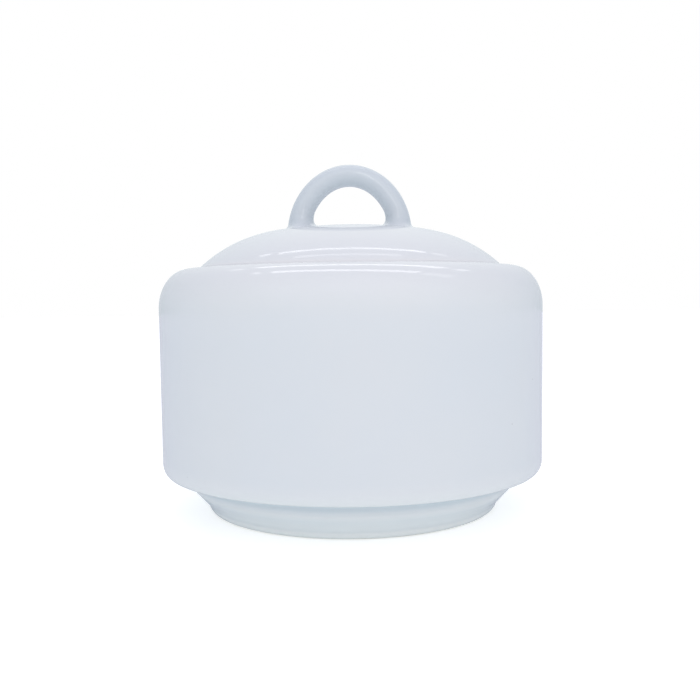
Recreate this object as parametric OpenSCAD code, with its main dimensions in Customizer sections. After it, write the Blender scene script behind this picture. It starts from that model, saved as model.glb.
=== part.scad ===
// Lidded porcelain sugar bowl: a drum-shaped bowl on a flared foot, and a domed lid that drops
// into a recessed seat inside the bowl's rim and carries an arched loop handle.
// Millimetres, +Z up, origin on the bowl's axis at the plane of the foot. The handle spans X.

/* [Bowl] */
// Greatest radius of the bowl
bowl_r = 49; // [48:0.5:51]
// Height of the rim above the table
rim_h = 61.4; // [58:0.2:66]
// Thickness of the bowl's wall
wall_t = 4; // [3:0.1:4.5]
// Height of the rounded shoulder below the rim
shoulder_h = 9.8; // [8:0.2:11]
// Height of the inside floor at its centre
floor_h = 9.2; // [8:0.2:10]

/* [Foot] */
// Radius of the foot at the table
foot_r = 37.5; // [36:0.5:39]
// Width of the flat ring that touches the table
foot_ring_w = 2.2; // [1.5:0.1:2.5]
// Height of the bowl's underside outside the foot
foot_h = 9.9; // [9:0.1:10.5]
// Depth of the hollow inside the foot
recess_h = 4.2; // [3.8:0.1:4.5]

/* [Seat] */
// Radius of the recess that takes the lid's flange
seat_r = 39.6; // [39.4:0.1:40]
// Depth of the seat below the rim
seat_drop = 2.5; // [2.5:0.1:3]
// Radius of the throat inside the seat
throat_r = 36.6; // [36.5:0.1:37]

/* [Lid] */
// Radius of the lid's flange
lid_r = 38.9; // [38.6:0.1:39.1]
// Height of the lid's crown above the rim
lid_rise = 11; // [11:0.1:12]
// Thickness of the lid
lid_t = 3.3; // [2.8:0.1:3.6]
// Radius of the locating collar under the lid
collar_r = 35.9; // [35:0.1:36]
// Length of the collar below the flange
collar_l = 4.5; // [3:0.1:6]

/* [Handle] */
// Height of the top of the handle above the lid's crown
handle_rise = 15.8; // [14:0.1:18]
// Thickness of the handle at the top of its arch
handle_t = 5.7; // [5:0.1:6.2]
// Depth of the handle, front to back
handle_w = 8.6; // [7:0.1:10]

/* [Hidden] */
$fn = 96;

// Foot and lower corner of the bowl
foot_edge = 2;                // rounding of the foot's outer lower edge
ring_edge = 1;                // rounding of the foot's inner lower edge
ring_outer_r = foot_r - foot_edge;
ring_inner_r = ring_outer_r - foot_ring_w;
recess_fillet = 2.6;          // rounding where the foot's inner wall meets the base
base_arch = 0.5;              // rise of the base's underside towards its centre
foot_top_r = foot_r + 3.8;    // where the foot's hollow curve begins
foot_top_z = foot_h - 3.7;
foot_fillet_w = 3.4;          // width of that curve
wall_low_r = bowl_r - 0.15;   // the wall narrows a little towards the foot
corner_w = 2;                 // rounding between the underside and the wall
corner_h = 3;

// Rim, seat and inside of the bowl
seat_z = rim_h - seat_drop;
rim_edge = 0.8;               // rounding of the rim's and the seat's inner edges
seat_fillet = 0.4;            // rounding in the seat's corner
rim_flat = 1.2;               // width of the rim's level top
shoulder_w = bowl_r - seat_r - rim_edge - rim_flat;
inner_r = bowl_r - wall_t;
level_floor_r = 26;           // radius of the level part of the floor
floor_curve_h = 13;           // height of the curve between floor and wall
neck_z = rim_h - 12.9;        // height where the wall starts to curve in to the throat
lip_edge = 1.2;               // rounding under the throat
lip_r = throat_r + lip_edge;
lip_z = rim_h - 6.2;

// Lid: a shallow crown between two tighter sides, a rounded flange and a collar
crown_z = rim_h + lid_rise;
crown_arc = 140;              // radius of the arc over the middle
crown_r = 19.5;               // where that arc ends
side_arc = 35;                // radius of the arc from there to the flange
crown_angle = asin(crown_r / crown_arc);
side_x = crown_r - side_arc * sin(crown_angle);
side_z = crown_z - crown_arc + (crown_arc - side_arc) * cos(crown_angle);
flange_edge = 1.5;            // rounding between the dome and the flange's side
flange_foot = 0.6;            // rounding under the flange
collar_t = 2.8;               // thickness of the collar
collar_edge = 1.2;            // rounding of its lower edge
collar_z = seat_z - collar_l + collar_edge;
hollow_fillet = 4;            // rounding between the collar and the inside of the dome

// Handle: both edges of the arch are half ellipses
handle_z = crown_z + handle_rise;
outer_half = 16.2;
outer_sink = 2.4;             // depth of the outer ellipse's centre below the crown
outer_rise = handle_rise + outer_sink;
inner_half = 10.6;
inner_sink = 3.9;             // depth of the inner ellipse's centre below the crown
inner_rise = handle_rise - handle_t + inner_sink;
leg_angle = 90;               // angle on the ellipses at which the legs end, inside the dome
outer_flare = 1;              // how far a leg spreads outwards where it meets the dome
inner_flare = 3;              // and how far it spreads inwards
flare_reach = 2.9;            // height over which it does
arch_rings = 60;              // rings of points along the arch
section_sides = 24;           // points round each ring

// Points on an arc about [x, z] from angle a to angle b: a circle, or an ellipse where rz is given
function arc(x, z, rx, a, b, rz = undef, steps = 10) =
    let (ry = is_undef(rz) ? rx : rz)
    [for (i = [0 : steps]) let (t = a + (b - a) * i / steps) [x + rx * cos(t), z + ry * sin(t)]];

// The same points without those that repeat the one before
function distinct(list) =
    [for (i = [0 : len(list) - 1]) if (i == 0 || norm(list[i] - list[i - 1]) > 0.001) list[i]];

function reversed(list) = [for (i = [len(list) - 1 : -1 : 0]) list[i]];

// A solid turned about the Z axis from its outline, given as points [radius, height]
module turned(outline) {
    rotate_extrude() polygon(distinct(outline));
}

// Outside of the bowl, from the middle of its underside round the foot and up to the rim
function bowl_outside() = concat(
    [[0, recess_h + base_arch]],
    arc(ring_inner_r - ring_edge - recess_fillet, recess_h - recess_fillet, recess_fillet, 90, 0),
    arc(ring_inner_r, ring_edge, ring_edge, 180, 270, steps = 5),
    arc(ring_outer_r, foot_edge, foot_edge, -90, 0),
    arc(foot_top_r + foot_fillet_w, foot_top_z, foot_fillet_w, 180, 90, foot_h - foot_top_z),
    arc(wall_low_r - corner_w, foot_h + corner_h, corner_w, -90, 0, corner_h),
    arc(bowl_r - shoulder_w, rim_h - shoulder_h, shoulder_w, 0, 90, shoulder_h, 16));

// Inside of the bowl, from the rim down over the seat and the throat to the middle of the floor
function bowl_inside() = concat(
    arc(seat_r + rim_edge, rim_h - rim_edge, rim_edge, 90, 180, steps = 5),
    arc(seat_r - seat_fillet, seat_z + seat_fillet, seat_fillet, 0, -90, steps = 4),
    arc(throat_r + rim_edge, seat_z - rim_edge, rim_edge, 90, 180, steps = 5),
    arc(lip_r, lip_z + lip_edge, lip_edge, 180, 270, steps = 6),
    arc(lip_r, neck_z, inner_r - lip_r, 90, 0, lip_z - neck_z),
    arc(level_floor_r, floor_h + floor_curve_h, inner_r - level_floor_r, 0, -90, floor_curve_h, 16),
    [[0, floor_h]]);

module bowl() {
    color("whitesmoke") turned(concat(bowl_outside(), bowl_inside()));
}

// A dome t below the lid's outer surface, from its middle to an upright side at radius s, with
// a rounding of radius f between the two
function dome(t, s, f) =
    let (
        x = s - f,
        rise = sqrt(pow(side_arc - t - f, 2) - pow(x - side_x, 2)),
        turn = atan2(rise, x - side_x))
    concat(
        arc(0, crown_z - crown_arc, crown_arc - t, 90, 90 - crown_angle, steps = 5),
        arc(side_x, side_z, side_arc - t, 90 - crown_angle, turn),
        arc(x, side_z + rise, f, turn, 0, steps = 6));

// Underside of the lid, from the flange in to the collar, round its edge and up to the middle
function lid_underside() = concat(
    arc(lid_r - flange_foot, seat_z + flange_foot, flange_foot, 0, -90, steps = 5),
    [[collar_r, seat_z]],
    arc(collar_r - collar_edge, collar_z, collar_edge, 0, -90, steps = 5),
    arc(collar_r - collar_t + collar_edge, collar_z, collar_edge, -90, -180, steps = 5),
    reversed(dome(lid_t, collar_r - collar_t, hollow_fillet)));

module lid() {
    color("white") turned(concat(dome(0, lid_r, flange_edge), lid_underside()));
}

// The arch at angle t from its top: its outer edge and its inner edge, as points [x, z]
function outer_edge(t) = [outer_half * sin(t), handle_z - outer_rise * (1 - cos(t))];
function inner_edge(t) = [inner_half * sin(t), handle_z - handle_t - inner_rise * (1 - cos(t))];

// How far a foot has spread at a point [x, y, z] near the dome, as a share of its spread there
function flare(p) =
    let (dome_z = crown_z - crown_arc + sqrt(pow(crown_arc, 2) - pow(p[0], 2) - pow(p[1], 2)))
    pow(max(0, 1 - max(0, p[2] - dome_z) / flare_reach), 2);

// One ring of points round the arch's oval section
function section_ring(t) =
    let (
        outer = outer_edge(t),
        inner = inner_edge(t),
        middle = (outer + inner) / 2,
        across = (outer - inner) / norm(outer - inner),
        half_t = norm(outer - inner) / 2,
        half_w = handle_w / 2)
    [for (k = [0 : section_sides - 1])
        let (
            a = 360 * k / section_sides,
            p = middle + across * half_t * cos(a),
            spread = (outer_flare + inner_flare) / 2 + (outer_flare - inner_flare) / 2 * cos(a),
            grow = spread * flare([p[0], half_w * sin(a), p[1]]))
        [p[0] + across[0] * grow * cos(a), (half_w + grow) * sin(a), p[1]]];

module arch() {
    rings = [for (k = [0 : arch_rings]) section_ring(leg_angle * (2 * k / arch_rings - 1))];
    last = arch_rings * section_sides;
    polyhedron(
        points = [for (ring = rings) each ring],
        faces = concat(
            [[for (k = [section_sides - 1 : -1 : 0]) k]],
            [for (j = [0 : arch_rings - 1], k = [0 : section_sides - 1])
                let (a = j * section_sides, n = (k + 1) % section_sides)
                [a + k, a + n, a + section_sides + n, a + section_sides + k]],
            [[for (k = [0 : section_sides - 1]) last + k]]),
        convexity = 4);
}

// The loop handle, its feet cut to the dome that they stand on
module lid_handle() {
    color("snow")
    difference() {
        arch();
        turned(concat([[0, seat_z]], dome(0, lid_r, flange_edge), [[lid_r, seat_z]]));
    }
}

bowl();
lid();
lid_handle();
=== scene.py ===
"""A white porcelain sugar bowl with a domed lid and an arched loop handle, on a pale studio floor."""

import math

import bpy
from mathutils import Euler, Matrix, Vector, noise


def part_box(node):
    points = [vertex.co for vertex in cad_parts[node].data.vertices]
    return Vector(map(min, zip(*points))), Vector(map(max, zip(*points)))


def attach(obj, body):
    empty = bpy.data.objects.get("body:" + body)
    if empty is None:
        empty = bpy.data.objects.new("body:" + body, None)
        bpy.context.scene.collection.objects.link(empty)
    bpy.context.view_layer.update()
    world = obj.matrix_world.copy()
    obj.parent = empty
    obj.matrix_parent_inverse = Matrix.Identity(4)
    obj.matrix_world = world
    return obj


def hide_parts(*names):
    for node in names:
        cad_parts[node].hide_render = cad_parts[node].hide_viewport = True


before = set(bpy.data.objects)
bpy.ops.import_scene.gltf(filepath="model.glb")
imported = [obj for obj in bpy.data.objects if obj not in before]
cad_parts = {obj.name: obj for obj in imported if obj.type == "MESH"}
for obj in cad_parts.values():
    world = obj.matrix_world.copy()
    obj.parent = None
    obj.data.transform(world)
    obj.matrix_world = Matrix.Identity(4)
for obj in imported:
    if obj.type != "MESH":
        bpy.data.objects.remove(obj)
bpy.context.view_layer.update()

MM = 0.001

# Sizes that the CAD model gives, in millimetres
bowl_low, bowl_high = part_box("bowl")
lid_low, lid_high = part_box("lid")
handle_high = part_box("lid_handle")[1]
BOWL_R = (bowl_high.x - bowl_low.x) / 2 / MM
RIM_Z = bowl_high.z / MM
LID_R = (lid_high.x - lid_low.x) / 2 / MM
COLLAR_Z = lid_low.z / MM
CROWN_Z = lid_high.z / MM
HANDLE_Z = handle_high.z / MM

# Bowl, in millimetres
FOOT_R = 37.5
FOOT_EDGE = 2.0
RING_W = 2.2
RING_EDGE = 1.0
RECESS_Z = 4.2
RECESS_FILLET = 2.6
BASE_ARCH = 0.5
FOOT_TOP_R = 41.3
FOOT_TOP_Z = 6.2
UNDERSIDE_Z = 9.9
FOOT_FILLET_W = 3.4
WALL_LOW_R = BOWL_R - 0.15
CORNER_W = 2.0
CORNER_H = 3.0
SHOULDER_W = 7.4
SHOULDER_H = 9.8
WALL_T = 4.0
FLOOR_Z = 9.2
LEVEL_FLOOR_R = 26.0
FLOOR_CURVE_H = 13.0
THROAT_R = 36.6
SEAT_R = 39.6
SEAT_Z = RIM_Z - 2.5
RIM_EDGE = 0.8
SEAT_FILLET = 0.4
LIP_EDGE = 1.2
LIP_R = THROAT_R + LIP_EDGE
LIP_Z = RIM_Z - 6.2
NECK_Z = RIM_Z - 12.9

# Lid, in millimetres
CROWN_ARC = 140.0
CROWN_R = 19.5
SIDE_ARC = 35.0
CROWN_ANGLE = math.degrees(math.asin(CROWN_R / CROWN_ARC))
SIDE_X = CROWN_R - SIDE_ARC * math.sin(math.radians(CROWN_ANGLE))
SIDE_Z = CROWN_Z - CROWN_ARC + (CROWN_ARC - SIDE_ARC) * math.cos(math.radians(CROWN_ANGLE))
FLANGE_EDGE = 1.5
FLANGE_FOOT = 0.6
LID_T = 3.3
COLLAR_R = 35.9
COLLAR_T = 2.8
COLLAR_EDGE = 1.2
HOLLOW_FILLET = 4.0

# Handle, in millimetres: both edges of the arch are ellipses
HANDLE_T = 5.7
HANDLE_W = 8.6
OUTER_HALF = 16.2
OUTER_RISE = HANDLE_Z - CROWN_Z + 2.4
INNER_HALF = 10.6
INNER_RISE = HANDLE_Z - CROWN_Z - HANDLE_T + 3.9

# Fillets of glaze at the handle's feet, and the skirt that carries them on under the dome, in millimetres
OUTER_FILLET = 1.7
INNER_FILLET = 4.0
FRONT_FILLET = 1.5
SKIRT = 1.0
SKIRT_SINKS = (0.06, 0.5)

# Points round the handle's section, and rings along one leg and along its fillet
HANDLE_SIDES = 96
LEG_RINGS = 56
FILLET_RINGS = 12

# Soft light from around the studio: the direction it comes from, how narrow it is (0 is the same from
# everywhere), and its colour
LOBES = (
    ((0, 0, 1), 0, (0.35, 0.40, 0.45)),
    ((0, 0, 1), 3, (0.30, 0.30, 0.40)),
    ((0, -1, 0.5), 3, (0.30, 0.20, 0.15)),
    ((0, -1, 1), 20, (0.35, 0.35, 0.35)),
    ((-1, -1, 1), 30, (0.25, 0.30, 0.30)),
    ((1, -1, 1), 30, (0.20, 0.20, 0.20)),
    ((1, -1, 0.3), 12, (0.20, 0.20, 0.20)),
    ((0, 1, 1), 12, (0.45, 0.45, 0.35)),
    ((0, 1, 0.1), 12, (0.25, 0.25, 0.25)),
)

# Light from the floor as each kind of ray sees it
FLOOR_GLOW = {
    "Is Camera Ray": (0.50, 0.50, 0.50),
    "Is Diffuse Ray": (0.25, 0.30, 0.30),
    "Is Glossy Ray": (0.00, 0.00, 0.05),
}

# Long lamps overhead that the glaze mirrors as thin lines: lean, tilt, bow, width in degrees,
# radiance, and x from and to. A lamp runs along y = lean + tilt * x + bow * x * x at z = 1,
# scaled out to LAMP_DISTANCE metres, in straight lengths of about LAMP_STEP degrees
LAMP_DISTANCE = 3.0
LAMP_STEP = 9.0
LID_LAMPS = (
    (0.355, 0.0, 0.85, 1.6, 3.0, -0.42, 0.45),
    (0.355, 0.0, 0.95, 1.4, 2.0, -0.56, -0.47),
    (0.355, 0.0, 0.85, 1.4, 1.2, 0.50, 0.62),
    (0.210, 0.0, 0.80, 1.6, 1.6, -0.34, 0.31),
)
HANDLE_LAMPS = (
    (0.0, -5.4, 0.0, 12.0, 2.0, 0.19, 0.45),
    (0.0, -5.4, 0.0, 12.0, 2.0, 0.45, 3.0),
)
BOWL_LAMPS = (
    (0.020, -0.20, 0.20, 7.0, 3.0, -0.46, 0.44),
    (0.020, -0.20, 0.20, 6.0, 1.8, -0.61, -0.54),
    (-0.040, -0.20, 0.20, 7.0, 1.1, 0.50, 0.83),
    (0.650, -0.33, -0.40, 6.0, 2.3, -0.41, 0.48),
    (0.590, -0.33, -0.20, 5.0, 1.2, -0.62, -0.52),
    (0.590, -0.33, 0.10, 5.0, 1.8, 0.60, 0.74),
)

# Colours, as linear red, green and blue
GLAZE_COOL = (0.795, 0.83, 0.855, 1)
GLAZE_WARM = (0.81, 0.835, 0.85, 1)
# Painted shade: the darker, bluer tint on the handle and in hollow corners, partly glaze that gathers there
POOLED_GLAZE_AND_SHADE = (0.60, 0.68, 0.73, 1)
# The paler tint: glaze running thin on edges, and painted light on the highest parts and the foot's bottom
THIN_GLAZE_AND_LIGHT = (0.88, 0.89, 0.89, 1)
IRON_SPECK = (0.30, 0.27, 0.25, 1)
PALE_SPECK = (0.93, 0.94, 0.95, 1)
CLAY_DARK = (0.66, 0.64, 0.60, 1)
CLAY_PALE = (0.80, 0.78, 0.74, 1)
FLOOR_DARK = (0.73, 0.73, 0.73, 1)
FLOOR_PALE = (0.77, 0.77, 0.77, 1)

# How strongly each point takes a tint, where 1 is the full darker, bluer tint and -1 the full paler tint.
# The first number below is painted shade all over the handle. The second darkens the fillets at its feet
# more, partly glaze that gathers there and partly painted shade. The third is painted light that makes the
# highest parts paler, growing between the two heights after it, in millimetres. An outline that turns by the
# last angle within the reach before it, in millimetres, takes the full darker tint: partly glaze pooled in a
# hollow corner, partly painted shade
HANDLE_PAINTED_SHADE = 0.5
FILLET_POOL_AND_SHADE = 0.15
TOP_PAINTED_LIGHT = 0.35
TOP_LIGHT_FROM = 40.0
TOP_LIGHT_TO = 58.0
POOL_AND_SHADE_REACH = 1.6
FULL_POOL_AND_SHADE_TURN = math.radians(45)

# The fired surface, in millimetres: its unevenness and how far it lies inside the CAD outline
GLAZE_WAVE = 0.05
SLOW_WAVE = 22.0
FINE_WAVE = 7.0
FINE_SHIFT = Vector((9.0, 4.0, 2.0))
GLAZE_INSET = 0.04

# Unglazed places, in millimetres: the height of the glaze line on the foot ring, and how far the bare
# ledge reaches above and below the seat, in past the collar and out past the seat's wall.
# FULLY_GLAZED stands for anywhere well away from them
GLAZE_LINE = 0.25
LEDGE_LINE = 0.35
LEDGE_IN = 0.5
LEDGE_OUT = 0.3
FULLY_GLAZED = -2.0

# Texture of the glaze and the clay: sizes and depths in millimetres, roughness from 0 to 1
MOTTLE_SIZE = 24
GRAIN_SIZE = 0.35
WAVER_SIZE = 5
WAVER = 0.5
GLOSS_SIZE = 11
SCUFF_SIZE = 2.2
PEEL_SIZE = 3.2
PEEL_DEPTH = 0.0022
PIT_DEPTH = 0.06
GLAZE_ROUGH = (0.05, 0.085)
SCUFF_ROUGH = 0.03
CLAY_ROUGH = (0.6, 0.8)
GLAZE_IOR = 1.52

# Specks: spacing and radius in millimetres, and the share of the places that have one; and how strong
IRON_SPECKS = (8, 0.22, 0.5)
IRON_STRENGTH = 0.35
PALE_SPECKS = (5, 0.12, 0.3)
PALE_STRENGTH = 0.5

# The floor: half its side in metres, its pattern in millimetres, and its finish
FLOOR_REACH = 3.0
FLOOR_MOTTLE = 60
FLOOR_GRAIN = 9
FLOOR_ROUGH = (0.5, 0.7)
FLOOR_SPECULAR = 0.2

# The camera: sensor and lens in millimetres, place in metres, tilt down and roll in degrees
SENSOR = 36.0
LENS = 44.0743
CAMERA_PLACE = (-0.0003, -0.2241, 0.0532)
CAMERA_DOWN = 3.32
CAMERA_ROLL = 0.7

# Points round a turned piece, and steps along its outline in millimetres
SEGMENTS = 288
ARC_STEP = 0.55
LINE_STEP = 2.0


def arc(x, z, rx, a, b, rz=None):
    """Points [radius, height] on an arc about (x, z) from angle a to angle b, in degrees."""
    rz = rx if rz is None else rz
    length = math.radians(abs(b - a)) * (rx + rz) / 2
    steps = max(5, math.ceil(length / ARC_STEP))
    turns = [math.radians(a + (b - a) * i / steps) for i in range(steps + 1)]
    return [(x + rx * math.cos(t), z + rz * math.sin(t)) for t in turns]


def filled_in(points):
    """The outline without repeated points, and with its straight runs cut into short steps."""
    outline = [points[0]]
    for r, z in points[1:]:
        r0, z0 = outline[-1]
        length = math.hypot(r - r0, z - z0)
        if length < 0.001:
            continue
        steps = math.ceil(length / LINE_STEP)
        outline += [(r0 + (r - r0) * i / steps, z0 + (z - z0) * i / steps) for i in range(1, steps + 1)]
    return outline


def dome(inset, side_r, edge):
    """The dome, inset below the lid's outer surface, out to an upright side with a rounded edge."""
    x = side_r - edge
    rise = math.sqrt((SIDE_ARC - inset - edge) ** 2 - (x - SIDE_X) ** 2)
    turn = math.degrees(math.atan2(rise, x - SIDE_X))
    return (
        arc(0, CROWN_Z - CROWN_ARC, CROWN_ARC - inset, 90, 90 - CROWN_ANGLE)
        + arc(SIDE_X, SIDE_Z, SIDE_ARC - inset, 90 - CROWN_ANGLE, turn)
        + arc(x, SIDE_Z + rise, edge, turn, 0)
    )


def crown_height(x, y):
    """Height of the lid's outer surface near its middle, where the handle stands."""
    return CROWN_Z - CROWN_ARC + math.sqrt(CROWN_ARC**2 - x * x - y * y)


def bowl_outline():
    """The bowl, from the middle of its underside round the foot and the rim to the middle of its floor."""
    ring_outer = FOOT_R - FOOT_EDGE
    ring_inner = ring_outer - RING_W
    floor_top = FLOOR_Z + FLOOR_CURVE_H
    inner_r = BOWL_R - WALL_T
    outside = (
        arc(0, RECESS_Z, ring_inner - RING_EDGE - RECESS_FILLET, 90, 0, BASE_ARCH)
        + arc(ring_inner - RING_EDGE - RECESS_FILLET, RECESS_Z - RECESS_FILLET, RECESS_FILLET, 90, 0)
        + arc(ring_inner, RING_EDGE, RING_EDGE, 180, 270)
        + arc(ring_outer, FOOT_EDGE, FOOT_EDGE, -90, 0)
        + arc(FOOT_TOP_R + FOOT_FILLET_W, FOOT_TOP_Z, FOOT_FILLET_W, 180, 90, UNDERSIDE_Z - FOOT_TOP_Z)
        + arc(WALL_LOW_R - CORNER_W, UNDERSIDE_Z + CORNER_H, CORNER_W, -90, 0, CORNER_H)
        + arc(BOWL_R - SHOULDER_W, RIM_Z - SHOULDER_H, SHOULDER_W, 0, 90, SHOULDER_H)
    )
    inside = (
        arc(SEAT_R + RIM_EDGE, RIM_Z - RIM_EDGE, RIM_EDGE, 90, 180)
        + arc(SEAT_R - SEAT_FILLET, SEAT_Z + SEAT_FILLET, SEAT_FILLET, 0, -90)
        + arc(THROAT_R + RIM_EDGE, SEAT_Z - RIM_EDGE, RIM_EDGE, 90, 180)
        + arc(LIP_R, LIP_Z + LIP_EDGE, LIP_EDGE, 180, 270)
        + arc(LIP_R, NECK_Z, inner_r - LIP_R, 90, 0, LIP_Z - NECK_Z)
        + arc(LEVEL_FLOOR_R, floor_top, inner_r - LEVEL_FLOOR_R, 0, -90, FLOOR_CURVE_H)
        + [(0, FLOOR_Z)]
    )
    return filled_in(outside + inside)


def lid_outline():
    """The lid, from the middle of its underside round the collar and the flange to its crown."""
    collar_top = COLLAR_Z + COLLAR_EDGE
    underside = (
        arc(LID_R - FLANGE_FOOT, SEAT_Z + FLANGE_FOOT, FLANGE_FOOT, 0, -90)
        + [(COLLAR_R, SEAT_Z)]
        + arc(COLLAR_R - COLLAR_EDGE, collar_top, COLLAR_EDGE, 0, -90)
        + arc(COLLAR_R - COLLAR_T + COLLAR_EDGE, collar_top, COLLAR_EDGE, -90, -180)
        + dome(LID_T, COLLAR_R - COLLAR_T, HOLLOW_FILLET)[::-1]
    )
    return filled_in(dome(0, LID_R, FLANGE_EDGE) + underside)[::-1]


def new_piece(name, verts, faces, material, **values):
    """A smooth-shaded mesh object with its points given in millimetres, and a value at each of them."""
    mesh = bpy.data.meshes.new(name)
    mesh.from_pydata([Vector(v) * MM for v in verts], [], faces)
    mesh.polygons.foreach_set("use_smooth", [True] * len(mesh.polygons))
    mesh.materials.append(material)
    for key, numbers in values.items():
        mesh.attributes.new(key, "FLOAT", "POINT").data.foreach_set("value", numbers)
    piece = bpy.data.objects.new(name, mesh)
    bpy.context.scene.collection.objects.link(piece)
    return piece


def glaze_wave(x, y, z):
    """How far the fired surface dips at a point, from 0 to GLAZE_WAVE."""
    slow = noise.noise(Vector((x, y, z)) / SLOW_WAVE)
    fine = noise.noise(Vector((x, y, z)) / FINE_WAVE + FINE_SHIFT)
    return GLAZE_WAVE * (0.5 + 0.4 * slow + 0.1 * fine)


def corner_pool_and_shade(outline):
    """How much darker tint each outline point takes: 1 in a hollow corner, down to -1 on an edge. It stands
    for glaze that gathers in hollows and runs thin on edges, and partly for painted shade in the hollow
    corners.
    """
    turns = [0.0]
    travel = [0.0]
    for (r0, z0), (r1, z1), (r2, z2) in zip(outline, outline[1:], outline[2:]):
        cross = (r1 - r0) * (z2 - z1) - (z1 - z0) * (r2 - r1)
        along = (r1 - r0) * (r2 - r1) + (z1 - z0) * (z2 - z1)
        turns.append(-math.atan2(cross, along))
        travel.append(travel[-1] + math.hypot(r1 - r0, z1 - z0))
    turns.append(0.0)
    travel.append(travel[-1])
    tint_amounts = []
    for here in travel:
        near = [turn * (1 - abs(way - here) / POOL_AND_SHADE_REACH)
                for turn, way in zip(turns, travel) if abs(way - here) < POOL_AND_SHADE_REACH]
        tint_amounts.append(max(-1.0, min(1.0, sum(near) / FULL_POOL_AND_SHADE_TURN)))
    return tint_amounts


def with_painted_light(pool, z):
    """The pooling and painted shade, made paler by painted light on the highest parts and towards the bottom
    of the foot.
    """
    rise = max(0.0, min(1.0, (z - TOP_LIGHT_FROM) / (TOP_LIGHT_TO - TOP_LIGHT_FROM)))
    # Painted light: the highest parts paler
    high = TOP_PAINTED_LIGHT * rise * rise * (3 - 2 * rise)
    # Painted light: paler towards the bottom of the foot
    low = max(0.0, 1 - z / FOOT_TOP_Z)
    return max(-1.0, pool - high - low)


def bare_clay(r, z):
    """How far a point lies inside the unglazed foot ring or the unglazed ledge, in millimetres."""
    ledge = min(LEDGE_LINE - abs(z - SEAT_Z), r - COLLAR_R + LEDGE_IN, SEAT_R + LEDGE_OUT - r)
    return max(GLAZE_LINE - z, ledge, FULLY_GLAZED)


def turned(name, outline, material):
    """Turns an outline, whose first and last points lie on the axis, into a closed piece."""
    # Each point's tint, from pooled glaze, painted shade and painted light, and how bare its clay is
    tint_amounts = corner_pool_and_shade(outline)
    verts = [(0, 0, outline[0][1])]
    pool = [with_painted_light(tint_amounts[0], outline[0][1])]
    bare = [bare_clay(*outline[0])]
    for (r, z), tint_here in zip(outline[1:-1], tint_amounts[1:-1]):
        for k in range(SEGMENTS):
            t = 2 * math.pi * k / SEGMENTS
            dip = GLAZE_INSET + glaze_wave(r * math.cos(t), r * math.sin(t), z)
            verts.append(((r - dip) * math.cos(t), (r - dip) * math.sin(t), z))
        pool += [with_painted_light(tint_here, z)] * SEGMENTS
        bare += [bare_clay(r, z)] * SEGMENTS
    verts.append((0, 0, outline[-1][1]))
    pool.append(with_painted_light(tint_amounts[-1], outline[-1][1]))
    bare.append(bare_clay(*outline[-1]))
    rings = len(outline) - 2
    faces = []
    for k in range(SEGMENTS):
        n = (k + 1) % SEGMENTS
        faces.append((0, 1 + n, 1 + k))
        for j in range(rings - 1):
            a = 1 + j * SEGMENTS
            faces.append((a + k, a + n, a + SEGMENTS + n, a + SEGMENTS + k))
        a = 1 + (rings - 1) * SEGMENTS
        faces.append((a + k, a + n, len(verts) - 1))
    return new_piece(name, verts, faces, material, glaze_pool=pool, bare_clay=bare)


class Nodes:
    """Short ways to add shader nodes to one material and link them."""

    def __init__(self, material):
        material.use_nodes = True
        self.tree = material.node_tree
        self.shader = self.tree.nodes["Principled BSDF"]
        self.place = self.tree.nodes.new("ShaderNodeTexCoord").outputs["Object"]

    def put(self, value, socket):
        """Links an output to a socket, or sets the socket to a plain value."""
        if isinstance(value, bpy.types.NodeSocket):
            self.tree.links.new(value, socket)
        else:
            socket.default_value = value

    def value(self, name):
        """One of the numbers that a mesh holds at each of its points."""
        node = self.tree.nodes.new("ShaderNodeAttribute")
        node.attribute_name = name
        return node.outputs["Fac"]

    def noise(self, size, detail, shift=0.0):
        """Smooth noise from 0 to 1, with features about size millimetres across."""
        moved = self.tree.nodes.new("ShaderNodeVectorMath")
        self.put(self.place, moved.inputs[0])
        moved.inputs[1].default_value = (shift, shift, shift)
        node = self.tree.nodes.new("ShaderNodeTexNoise")
        self.put(moved.outputs[0], node.inputs["Vector"])
        node.inputs["Scale"].default_value = 1 / (size * MM)
        node.inputs["Detail"].default_value = detail
        return node.outputs["Fac"]

    def math(self, operation, a, b, c=0.0):
        """A sum, product or other operation on two or three values."""
        node = self.tree.nodes.new("ShaderNodeMath")
        node.operation = operation
        for value, socket in zip((a, b, c), node.inputs):
            self.put(value, socket)
        return node.outputs[0]

    def ramp(self, value, low, high, start=0.0, end=1.0):
        """The value carried from low..high to start..end, and held there beyond them."""
        node = self.tree.nodes.new("ShaderNodeMapRange")
        for number, key in ((value, "Value"), (low, "From Min"), (high, "From Max"),
                            (start, "To Min"), (end, "To Max")):
            self.put(number, node.inputs[key])
        return node.outputs[0]

    def mix(self, share, first, second):
        """The first colour, with this share of the second."""
        node = self.tree.nodes.new("ShaderNodeMix")
        node.data_type = "RGBA"
        self.put(share, node.inputs[0])
        self.put(first, node.inputs[6])
        self.put(second, node.inputs[7])
        return node.outputs[2]

    def specks(self, spacing, radius, kept):
        """Round specks, 1 in the middle of a speck and 0 outside, in this share of the cells."""
        node = self.tree.nodes.new("ShaderNodeTexVoronoi")
        self.put(self.place, node.inputs["Vector"])
        node.inputs["Scale"].default_value = 1 / (spacing * MM)
        inside = self.ramp(node.outputs["Distance"], radius / spacing, 0.4 * radius / spacing)
        pick = self.tree.nodes.new("ShaderNodeSeparateColor")
        self.put(node.outputs["Color"], pick.inputs[0])
        return self.math("MULTIPLY", inside, self.math("LESS_THAN", pick.outputs[0], kept))

    def bump(self, height, depth, under=None):
        """A normal from a height of 0 to 1 that stands for so many millimetres."""
        node = self.tree.nodes.new("ShaderNodeBump")
        node.inputs["Distance"].default_value = depth * MM
        self.put(height, node.inputs["Height"])
        if under:
            self.put(under, node.inputs["Normal"])
        return node.outputs[0]


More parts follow.
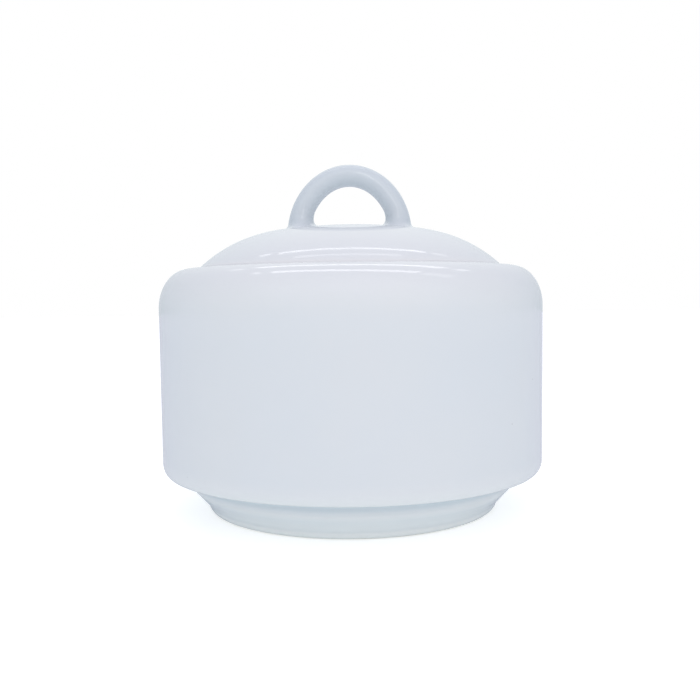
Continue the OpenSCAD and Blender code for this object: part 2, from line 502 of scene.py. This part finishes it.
def porcelain(name, shift):
    """White glazed porcelain, darker and bluer where the glaze pools and where shade is painted, paler where
    light is painted, and bare on the foot and the ledge.
    """
    material = bpy.data.materials.new(name)
    nodes = Nodes(material)

    # Mottling, the darker, bluer tint of pooled glaze and painted shade, and the paler tint of thin glaze
    # and painted light
    pool = nodes.value("glaze_pool")
    mottle = nodes.ramp(nodes.noise(MOTTLE_SIZE, 3, shift), 0.3, 0.7)
    colour = nodes.mix(mottle, GLAZE_COOL, GLAZE_WARM)
    # Painted shade: darker and bluer on the handle and in hollow corners, partly pooled glaze
    colour = nodes.mix(nodes.ramp(pool, 0, 1), colour, POOLED_GLAZE_AND_SHADE)
    # Paler where the glaze runs thin on edges, and painted light on the highest parts and the foot's bottom
    colour = nodes.mix(nodes.ramp(pool, 0, -1), colour, THIN_GLAZE_AND_LIGHT)

    # Specks from the firing
    iron = nodes.math("MULTIPLY", nodes.specks(*IRON_SPECKS), IRON_STRENGTH)
    colour = nodes.mix(iron, colour, IRON_SPECK)
    pale = nodes.math("MULTIPLY", nodes.specks(*PALE_SPECKS), PALE_STRENGTH)
    colour = nodes.mix(pale, colour, PALE_SPECK)

    # Bare clay, with a wavering edge to the glaze
    grain = nodes.noise(GRAIN_SIZE, 2, shift)
    clay = nodes.mix(grain, CLAY_DARK, CLAY_PALE)
    inside = nodes.math("ADD", nodes.value("bare_clay"), -WAVER / 2)
    line = nodes.math("MULTIPLY_ADD", nodes.noise(WAVER_SIZE, 3, shift + 1), WAVER, inside)
    bare = nodes.ramp(line, -0.04, 0.04)
    nodes.put(nodes.mix(bare, colour, clay), nodes.shader.inputs["Base Color"])

    # Gloss that varies a little, with faint scuffs, and dull clay
    gloss = nodes.ramp(nodes.noise(GLOSS_SIZE, 4, shift + 2), 0.3, 0.75, *GLAZE_ROUGH)
    scuff = nodes.ramp(nodes.noise(SCUFF_SIZE, 5, shift + 3), 0.62, 0.78, 0, SCUFF_ROUGH)
    glaze_rough = nodes.math("ADD", gloss, scuff)
    clay_rough = nodes.ramp(grain, 0, 1, *CLAY_ROUGH)
    rough = nodes.math("MULTIPLY_ADD", bare, clay_rough, glaze_rough)
    nodes.put(rough, nodes.shader.inputs["Roughness"])

    # Faint waves in the glaze, and pits in the clay
    peel = nodes.bump(nodes.noise(PEEL_SIZE, 2, shift + 4), PEEL_DEPTH)
    pits = nodes.bump(nodes.math("MULTIPLY", bare, grain), PIT_DEPTH, peel)
    nodes.put(pits, nodes.shader.inputs["Normal"])
    nodes.shader.inputs["IOR"].default_value = GLAZE_IOR
    return material


def added(tree, total, colour):
    """The sum of two colour sockets, or the second alone where there is no first."""
    if total is None:
        return colour
    add = tree.nodes.new("ShaderNodeVectorMath")
    add.operation = "ADD"
    tree.links.new(total, add.inputs[0])
    tree.links.new(colour, add.inputs[1])
    return add.outputs[0]


def floor_material():
    """A pale matt table top that also glows; FLOOR_GLOW says how much each kind of ray sees of it."""
    material = bpy.data.materials.new("studio_floor")
    nodes = Nodes(material)
    colour = nodes.mix(nodes.noise(FLOOR_MOTTLE, 4), FLOOR_DARK, FLOOR_PALE)
    nodes.put(colour, nodes.shader.inputs["Base Color"])
    rough = nodes.ramp(nodes.noise(FLOOR_GRAIN, 3), 0, 1, *FLOOR_ROUGH)
    nodes.put(rough, nodes.shader.inputs["Roughness"])
    nodes.shader.inputs["Specular IOR Level"].default_value = FLOOR_SPECULAR
    nodes.shader.inputs["Emission Strength"].default_value = 1
    path = nodes.tree.nodes.new("ShaderNodeLightPath")
    total = None
    for ray, glow in FLOOR_GLOW.items():
        part = nodes.tree.nodes.new("ShaderNodeVectorMath")
        part.operation = "SCALE"
        part.inputs[0].default_value = glow
        nodes.put(path.outputs[ray], part.inputs["Scale"])
        total = added(nodes.tree, total, part.outputs[0])
    nodes.put(total, nodes.shader.inputs["Emission Color"])

    # Sampled as a lamp, the glow would give an amount of light that depends on how many lamps there are
    material.cycles.emission_sampling = "NONE"
    return material


def handle_point(t, a):
    """A point on the arch's skin: t is the angle from its top, and a the angle round its section."""
    outer = Vector((OUTER_HALF * math.sin(t), 0, HANDLE_Z - OUTER_RISE * (1 - math.cos(t))))
    inner = Vector((INNER_HALF * math.sin(t), 0, HANDLE_Z - HANDLE_T - INNER_RISE * (1 - math.cos(t))))
    middle = (outer + inner) / 2
    offset = (outer - inner) / 2 * math.cos(a) + Vector((0, HANDLE_W / 2 * math.sin(a), 0))
    dip = GLAZE_INSET + glaze_wave(*(middle + offset))
    return middle + offset * (1 - dip / offset.length)


def angle_at_height(height, side, a):
    """The angle t at which the arch's skin is that far above the dome, found by halving."""
    low, high = 0.0, math.radians(90)
    for _ in range(30):
        t = (low + high) / 2
        p = handle_point(side * t, a)
        if p.z - crown_height(p.x, p.y) > height:
            low = t
        else:
            high = t
    return side * low


def leg_end(side, a):
    """A leg's fillet: the angle where it starts, the corner it rounds, and which way and how far it runs."""
    reach = (OUTER_FILLET + INNER_FILLET) / 2 + (OUTER_FILLET - INNER_FILLET) / 2 * math.cos(a)
    reach += FRONT_FILLET * math.sin(a) ** 2
    start_angle = angle_at_height(reach, side, a)
    corner = handle_point(angle_at_height(0, side, a), a)
    outer, inner = handle_point(start_angle, 0), handle_point(start_angle, math.pi)
    across = (outer - inner).normalized()
    away = Vector((across.x * math.cos(a) * HANDLE_W, HANDLE_T * math.sin(a), 0)).normalized()
    return start_angle, corner, away, reach


def on_dome(point, sink):
    """The point moved straight up or down to lie this far below the lid's outer surface."""
    return Vector((point.x, point.y, crown_height(point.x, point.y) - sink))


def leg_rows(side, sections):
    """Rings of points down half of the arch, over its fillet and under the dome, and their painted shade and
    light.
    """
    ends = [leg_end(side, a) for a in sections]
    rows = []
    tint_amounts = []
    for j in range(1, LEG_RINGS + 1):
        rows.append([handle_point(end[0] * j / LEG_RINGS, a) for end, a in zip(ends, sections)])
        # Painted shade all over the arch
        tint_amounts.append(HANDLE_PAINTED_SHADE)
    starts = rows[-1]
    for j in range(1, FILLET_RINGS + 1):
        u = j / FILLET_RINGS
        row = []
        for start, (_, corner, away, reach) in zip(starts, ends):
            end = on_dome(corner + away * reach, 0)
            row.append((1 - u) ** 2 * start + 2 * u * (1 - u) * corner + u * u * end)
        rows.append(row)
        # Over the fillet the painted shade fades to the dome's painted light, with more darkening midway:
        # partly glaze that gathers there, partly painted shade
        tint_amounts.append(HANDLE_PAINTED_SHADE - (HANDLE_PAINTED_SHADE + TOP_PAINTED_LIGHT) * u**3 + FILLET_POOL_AND_SHADE * math.sin(math.pi * u))
    for sink in SKIRT_SINKS:
        rows.append([on_dome(corner + away * (reach + SKIRT), sink) for _, corner, away, reach in ends])
        # Painted light, as on the dome's top
        tint_amounts.append(-TOP_PAINTED_LIGHT)
    return rows, tint_amounts


def make_handle(material):
    """The loop handle, with each foot running out into the dome in a fillet of glaze."""
    sections = [2 * math.pi * k / HANDLE_SIDES for k in range(HANDLE_SIDES)]
    left_rows, left_tint_amounts = leg_rows(-1, sections)
    right_rows, right_tint_amounts = leg_rows(1, sections)
    rows = left_rows[::-1] + [[handle_point(0, a) for a in sections]] + right_rows
    tint_amounts = left_tint_amounts[::-1] + [HANDLE_PAINTED_SHADE] + right_tint_amounts
    verts = [p for row in rows for p in row]
    faces = [tuple(range(HANDLE_SIDES))]
    for j in range(len(rows) - 1):
        for k in range(HANDLE_SIDES):
            a, n = j * HANDLE_SIDES, (k + 1) % HANDLE_SIDES
            faces.append((a + k, a + HANDLE_SIDES + k, a + HANDLE_SIDES + n, a + n))
    faces.append(tuple(range(len(verts) - 1, len(verts) - HANDLE_SIDES - 1, -1)))
    # The painted shade of each ring, at every point round it
    pool = [value for value in tint_amounts for _ in sections]
    bare = [FULLY_GLAZED] * len(verts)
    return new_piece("loop_handle", verts, faces, material, glaze_pool=pool, bare_clay=bare)


def make_floor():
    """The pale table top that the bowl stands on."""
    side = FLOOR_REACH
    mesh = bpy.data.meshes.new("floor")
    corners = [(-side, -side, 0), (side, -side, 0), (side, side, 0), (-side, side, 0)]
    mesh.from_pydata(corners, [], [(0, 1, 2, 3)])
    mesh.materials.append(floor_material())
    floor = bpy.data.objects.new("floor", mesh)
    bpy.context.scene.collection.objects.link(floor)


def lamp_place(x, lean, tilt, bow):
    """A point on a lamp's line, LAMP_DISTANCE from the origin."""
    return Vector((x, lean + tilt * x + bow * x * x, 1)).normalized() * LAMP_DISTANCE


def make_lamps(name, lamps, pieces):
    """Long thin lamps, each of straight lengths end to end, that only these pieces mirror."""
    group = bpy.data.collections.new(name)
    for piece in pieces:
        group.objects.link(piece)
    for lean, tilt, bow, width, radiance, start, end in lamps:
        span = lamp_place(start, lean, tilt, bow).angle(lamp_place(end, lean, tilt, bow))
        lengths = max(1, round(math.degrees(span) / LAMP_STEP))
        steps = [start + (end - start) * k / lengths for k in range(lengths + 1)]
        ends = [lamp_place(x, lean, tilt, bow) for x in steps]
        for a, b in zip(ends, ends[1:]):
            data = bpy.data.lights.new(name, "AREA")
            data.shape = "RECTANGLE"
            data.size = (b - a).length
            data.size_y = LAMP_DISTANCE * math.radians(width)
            data.energy = radiance * math.pi * data.size * data.size_y
            lamp = bpy.data.objects.new(name, data)
            along = (b - a).normalized()
            back = (a + b).normalized()
            turn = Matrix((along, back.cross(along), back)).transposed()
            lamp.matrix_world = Matrix.Translation((a + b) / 2) @ turn.to_4x4()
            lamp.visible_camera = False
            lamp.visible_diffuse = False
            lamp.light_linking.receiver_collection = group
            bpy.context.scene.collection.objects.link(lamp)


def make_world():
    """Camera rays see plain white; everything else sees soft lobes of light from around the studio."""
    world = bpy.data.worlds.new("studio")
    world.use_nodes = True
    bpy.context.scene.world = world
    nodes, links = world.node_tree.nodes, world.node_tree.links
    nodes.clear()
    place = nodes.new("ShaderNodeTexCoord").outputs["Generated"]
    total = None
    for direction, sharpness, color in LOBES:
        dot = nodes.new("ShaderNodeVectorMath")
        dot.operation = "DOT_PRODUCT"
        dot.inputs[1].default_value = Vector(direction).normalized()
        links.new(place, dot.inputs[0])
        half = nodes.new("ShaderNodeMath")
        half.operation = "MULTIPLY_ADD"
        half.inputs[1].default_value = 0.5
        half.inputs[2].default_value = 0.5
        links.new(dot.outputs["Value"], half.inputs[0])
        power = nodes.new("ShaderNodeMath")
        power.operation = "POWER"
        power.inputs[1].default_value = sharpness
        links.new(half.outputs[0], power.inputs[0])
        scaled = nodes.new("ShaderNodeVectorMath")
        scaled.operation = "SCALE"
        scaled.inputs[0].default_value = color
        links.new(power.outputs[0], scaled.inputs["Scale"])
        total = added(world.node_tree, total, scaled.outputs[0])
    out = nodes.new("ShaderNodeOutputWorld")
    mix = nodes.new("ShaderNodeMixShader")
    path = nodes.new("ShaderNodeLightPath")
    seen = nodes.new("ShaderNodeBackground")
    seen.inputs["Color"].default_value = (1, 1, 1, 1)
    lit = nodes.new("ShaderNodeBackground")
    links.new(total, lit.inputs["Color"])
    links.new(path.outputs["Is Camera Ray"], mix.inputs["Fac"])
    links.new(lit.outputs[0], mix.inputs[1])
    links.new(seen.outputs[0], mix.inputs[2])
    links.new(mix.outputs[0], out.inputs["Surface"])


def make_camera():
    """The camera, a little lower than the bowl's rim and looking slightly down."""
    data = bpy.data.cameras.new("camera")
    data.sensor_width = SENSOR
    data.lens = LENS
    data.clip_start = 0.01
    camera = bpy.data.objects.new("camera", data)
    camera.location = CAMERA_PLACE
    tilt = Euler((math.radians(90 - CAMERA_DOWN), 0, 0)).to_matrix()
    roll = Euler((0, 0, math.radians(-CAMERA_ROLL))).to_matrix()
    camera.rotation_euler = (tilt @ roll).to_euler()
    bpy.context.scene.collection.objects.link(camera)
    bpy.context.scene.camera = camera


bowl_glaze = porcelain("bowl_porcelain", 0.0)
lid_glaze = porcelain("lid_porcelain", 0.5)
bowl = turned("bowl_body", bowl_outline(), bowl_glaze)
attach(bowl, "bowl")
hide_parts("bowl")
lid = turned("lid_shell", lid_outline(), lid_glaze)
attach(lid, "lid")
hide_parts("lid")
handle = make_handle(lid_glaze)
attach(handle, "lid")
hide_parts("lid_handle")

make_floor()
make_world()
make_lamps("lid_lamp", LID_LAMPS, [lid, handle])
make_lamps("handle_lamp", HANDLE_LAMPS, [handle])
make_lamps("bowl_lamp", BOWL_LAMPS, [bowl])
make_camera()
bpy.context.scene.view_settings.view_transform = "Standard"
